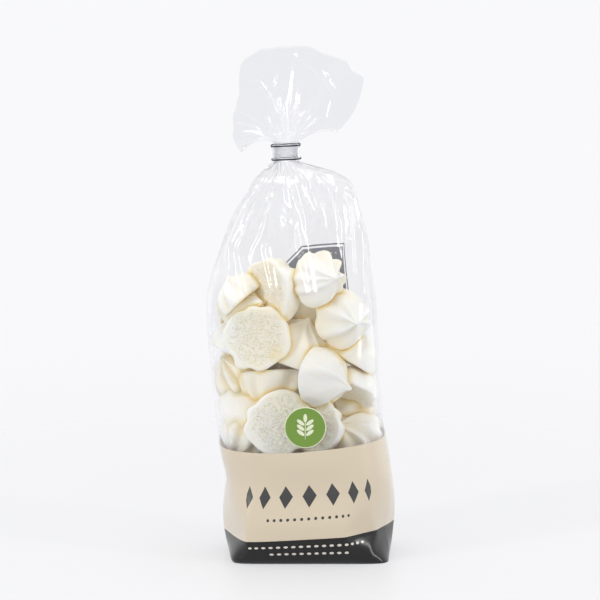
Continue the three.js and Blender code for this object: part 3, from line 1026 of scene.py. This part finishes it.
def row_of_shapes(shader, across, up, row):
    """1 inside a row of printed shapes, and 0 outside it."""
    middle, spacing, half_width, half_height, reach, power = row
    along = shader.math("ABSOLUTE", across)
    beside = shader.math("PINGPONG", along, spacing / 2)
    above = shader.math("ABSOLUTE", shader.math("SUBTRACT", up, middle))
    parts = [
        shader.math("POWER", shader.math("DIVIDE", part, half), power)
        for part, half in ((beside, half_width), (above, half_height))
    ]
    shape = shader.math("LESS_THAN", shader.math("ADD", *parts), 1.0)
    return shader.math("MULTIPLY", shape, shader.math("LESS_THAN", along, reach))


def rows_of_shapes(shader, across, up, rows):
    """1 inside any of these rows of printed shapes, and 0 outside them."""
    return shader.most([row_of_shapes(shader, across, up, row) for row in rows])


def printed_film(shader, colour, gloss, shape_colour, rows):
    """Film with an opaque print under it, in one colour with rows of shapes in another."""
    across, up = shader.in_mm(shader.node("UVMap", {"uv_map": "front"}), 0, 1)
    shapes = rows_of_shapes(shader, across, up, rows)
    return shader.node(
        "BsdfPrincipled", Base_Color=shader.mix(shapes, colour, shape_colour), Roughness=0.45,
        Specular_IOR_Level=gloss, Sheen_Weight=gloss, Coat_Weight=0.8, Coat_Roughness=0.18,
        Coat_Normal=crinkles(shader, 0.12),
    )


def label_film(shader):
    """Clear film with the label of the bag's back: a slate field in a thin frame, with pale bars."""
    across, up = shader.in_mm(shader.node("UVMap", {"uv_map": "back"}), 0, 1)
    across = shader.math("SUBTRACT", across, LABEL["across"])
    above = shader.math("SUBTRACT", up, (LABEL["bottom"] + LABEL["top"]) / 2)
    half_height = (LABEL["top"] - LABEL["bottom"]) / 2
    past = [
        shader.math("SUBTRACT", shader.math("ABSOLUTE", way), half)
        for way, half in ((across, LABEL["half_width"]), (above, half_height))
    ]
    corner_at = LABEL["top"] + LABEL["half_width"] - LABEL["cut_corner"]
    corner = shader.math("SUBTRACT", shader.math("ADD", across, up), corner_at)
    edge = shader.most([*past, shader.math("MULTIPLY", corner, 0.7)])
    below_frame = shader.math("LESS_THAN", edge, -1.0)
    in_gap = shader.math("MULTIPLY", below_frame, shader.math("GREATER_THAN", edge, -2.2))
    inside = shader.math("LESS_THAN", edge, 0.0)
    printed = shader.math("MULTIPLY", inside, shader.math("SUBTRACT", 1.0, in_gap))
    bars = rows_of_shapes(shader, across, up, LABEL_ROWS)
    colour = shader.mix(bars, (0.23, 0.24, 0.28, 1), (0.6, 0.6, 0.62, 1))
    ink = shader.node("BsdfPrincipled", Base_Color=colour, Roughness=0.4)
    return shader.blend(printed, film_surface(shader), ink)


def oval(shader, x, y, middle, half_sizes, angle):
    """1 inside an oval turned by an angle in degrees, and 0 outside it."""
    cosine, sine = math.cos(math.radians(angle)), math.sin(math.radians(angle))
    x = shader.math("SUBTRACT", x, middle[0])
    y = shader.math("SUBTRACT", y, middle[1])
    parts = []
    for a, b, half in ((cosine, sine, half_sizes[0]), (-sine, cosine, half_sizes[1])):
        along, aside = shader.math("MULTIPLY", x, a / half), shader.math("MULTIPLY", y, b / half)
        share = shader.math("ABSOLUTE", shader.math("ADD", along, aside))
        parts.append(shader.math("POWER", share, 2.0))
    return shader.math("LESS_THAN", shader.math("ADD", *parts), 1.0)


def sticker_paper(shader):
    """Green paper with a pale rim and a sprig of leaves."""
    place = shader.place()
    x, y = shader.in_mm(place, 0, 2)
    x = shader.math("SUBTRACT", x, STICKER["x"])
    y = shader.math("SUBTRACT", y, STICKER["height"])
    green = oval(shader, x, y, (0, 0), (STICKER["green_radius"],) * 2, 0)
    rim = shader.math("SUBTRACT", 1.0, green)
    pale = shader.most([rim, *(oval(shader, x, y, *leaf) for leaf in SPRIG)])
    colour = shader.mix(pale, (0.17, 0.30, 0.045, 1), (0.78, 0.8, 0.6, 1))
    fibres = shader.node("TexNoise", Vector=place, Scale=1500.0)
    normal = shader.node("Bump", Strength=0.15, Distance=0.0002, Height=fibres)
    return shader.node("BsdfPrincipled", Base_Color=colour, Roughness=0.45, Normal=normal)


def paint_node(name, surface):
    """Gives one of the CAD part's nodes a material with this surface alone."""
    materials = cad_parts[name].data.materials
    materials.clear()
    materials.append(material(name, surface))


# --- Stage ---


def add_camera():
    """The photograph's camera."""
    data = bpy.data.cameras.new("camera")
    data.sensor_width = 36
    data.lens = data.sensor_width * VIEW["distance"] / VIEW["width"]
    data.clip_end = 20
    camera = bpy.data.objects.new("camera", data)
    bpy.context.scene.collection.objects.link(camera)
    elevation = math.radians(VIEW["elevation"])
    away = Vector((0, -math.cos(elevation), math.sin(elevation))) * VIEW["distance"] * MM
    camera.location = Vector((VIEW["x"], 0, VIEW["height"])) * MM + away
    camera.rotation_euler = (-away).to_track_quat("-Z", "Y").to_euler()
    bpy.context.scene.camera = camera


def add_floor():
    """A pale floor that fades into the surround."""
    shader = Shader("floor")
    away = shader.node("VectorMath", {"operation": "LENGTH"}, "Value", i0=shader.place())
    fade = shader.node(
        "MapRange", {"interpolation_type": "SMOOTHSTEP"}, Value=away, From_Min=0.1, From_Max=0.85,
        To_Min=0.55,
    )
    surface = shader.node("BsdfPrincipled", Base_Color=(0.70, 0.70, 0.715, 1), Roughness=0.35)
    through = shader.node("BsdfTransparent")
    faded = shader.finish(shader.blend(fade, surface, through))
    corners = np.array([(-1, -1, 0), (1, -1, 0), (1, 1, 0), (-1, 1, 0)])
    floor = new_object("floor", corners * FLOOR_SIZE, [(0, 1, 2, 3)], [faded])


def add_surround():
    """A pale surround that lights matt surfaces less, and whose front is darker in mirrors."""
    shader = Shader("surround", bpy.data.worlds, "OutputWorld")
    matt, glossy = (shader.node("LightPath", output=f"Is {way} Ray") for way in ("Diffuse", "Glossy"))
    shade = shader.node("MapRange", Value=matt, To_Min=0.96, To_Max=0.33)
    direction = shader.node("TexCoord", output="Generated")
    y = shader.node("SeparateXYZ", output="Y", Vector=direction)
    front = shader.node("MapRange", Value=y, From_Min=-0.7, From_Max=0.5, To_Min=0.38, To_Max=0.0)
    dimmed = shader.math("MULTIPLY", shader.math("SUBTRACT", glossy, matt), front)
    strength = shader.math("SUBTRACT", shade, dimmed)
    background = shader.node("Background", Color=(0.985, 0.985, 1.0, 1), Strength=strength)
    bpy.context.scene.world = shader.finish(background)


def add_light(name, place, size, power):
    """A soft box at a place in metres, turned to the bag's middle."""
    data = bpy.data.lights.new(name, "AREA")
    data.shape = "RECTANGLE"
    data.size, data.size_y = size
    data.energy = power
    light = bpy.data.objects.new(name, data)
    bpy.context.scene.collection.objects.link(light)
    light.location = place
    light.rotation_euler = (LIGHTS_AIM - light.location).to_track_quat("-Z", "Y").to_euler()


# --- The scene ---

scene = bpy.context.scene
scene.view_settings.view_transform = "Standard"
scene.cycles.transparent_max_bounces = 32
scene.cycles.diffuse_bounces = 8

add_camera()
add_floor()
add_surround()
for light in LIGHTS:
    add_light(*light)

heap_distance = add_cookies([
    material("meringue_shell", meringue, (0.94, 0.93, 0.89, 1), 0.03),
    material("meringue_underside", meringue, (0.95, 0.93, 0.86, 1), 0.85),
])
black, warm_white = (0.009, 0.009, 0.009, 1), (0.7, 0.66, 0.58, 1)
cream, soft_black = (0.68, 0.58, 0.43, 1), (0.02, 0.019, 0.018, 1)
film_points = add_film([
    material("film_clear", film_surface),
    material("film_black", printed_film, black, 0.05, warm_white, BLACK_ROWS),
    material("film_cream", printed_film, cream, 0.6, soft_black, CREAM_ROWS),
    material("film_label", label_film),
], heap_distance)
add_sticker(material("sticker_paper", sticker_paper), film_points)

paint_node("clip_wire_upper", clip_wire)
paint_node("clip_wire_lower", clip_wire)
paint_node("clip_strip", clip_plastic)
